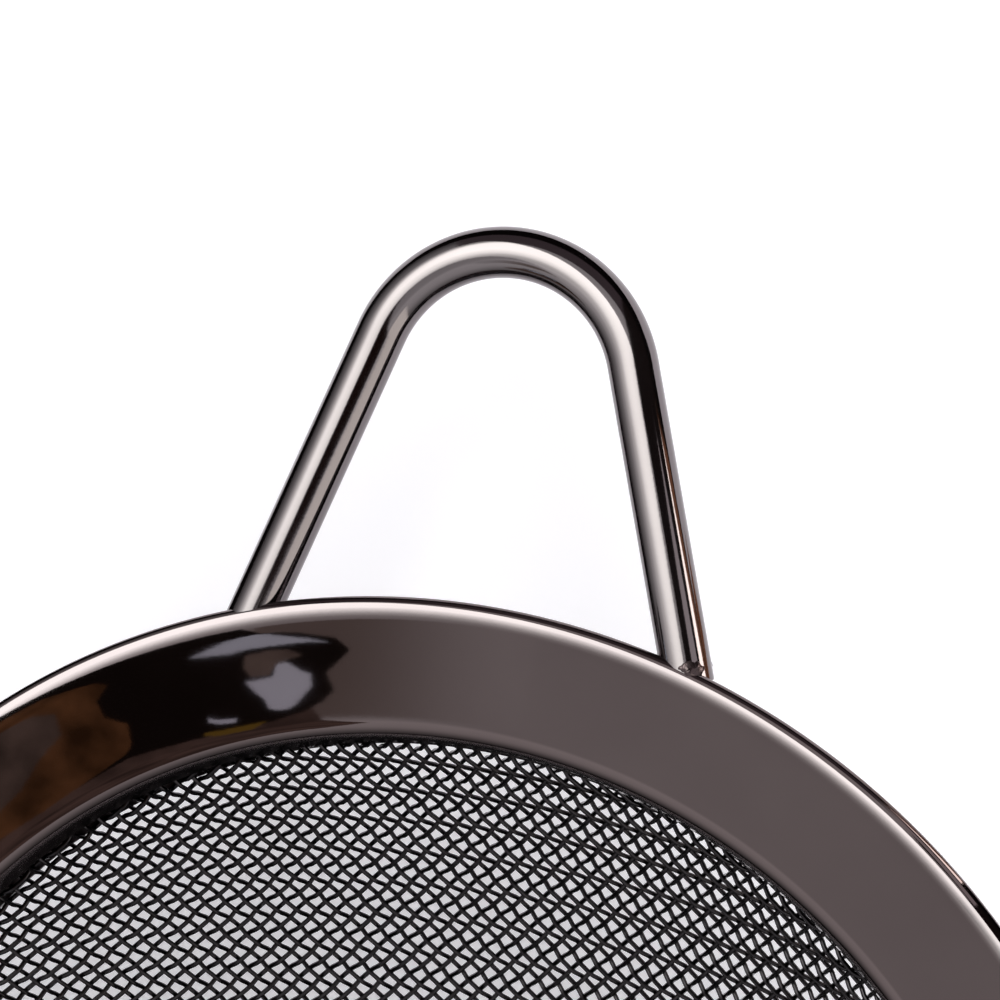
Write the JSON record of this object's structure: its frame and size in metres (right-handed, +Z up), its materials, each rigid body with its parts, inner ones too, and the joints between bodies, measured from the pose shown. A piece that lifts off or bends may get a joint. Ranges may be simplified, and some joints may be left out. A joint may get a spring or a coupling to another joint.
{
  "type": "soil sieve",
  "caption": "Hand sieve with a pressed steel rim, a bowl of woven wire cloth, a rest loop and a welded rod handle.",
  "frame": {"origin": "level with the lowest wire of the bowl, halfway along the sieve's length", "axes": "+Z up with the mouth open upwards, +Y from the handle towards the rest loop"},
  "size_m": [0.1498, 0.3352, 0.033],
  "materials": {
    "rim_steel": "polished gunmetal plating on pressed steel",
    "rod_steel": "polished gunmetal plating on round rod",
    "cloth_wire": "dark plated woven wire",
    "weld": "plated weld bead, uneven"
  },
  "bodies": {
    "root": {"rim": "rim_steel", "clamp_ring": "rim_steel", "warp_wires": "cloth_wire", "weft_wires": "cloth_wire", "rest_loop": "rod_steel", "loop_weld_left": "weld", "loop_weld_right": "weld", "handle": "rod_steel", "handle_weld_left": "weld", "handle_weld_right": "weld"}
  },
  "joints": []
}
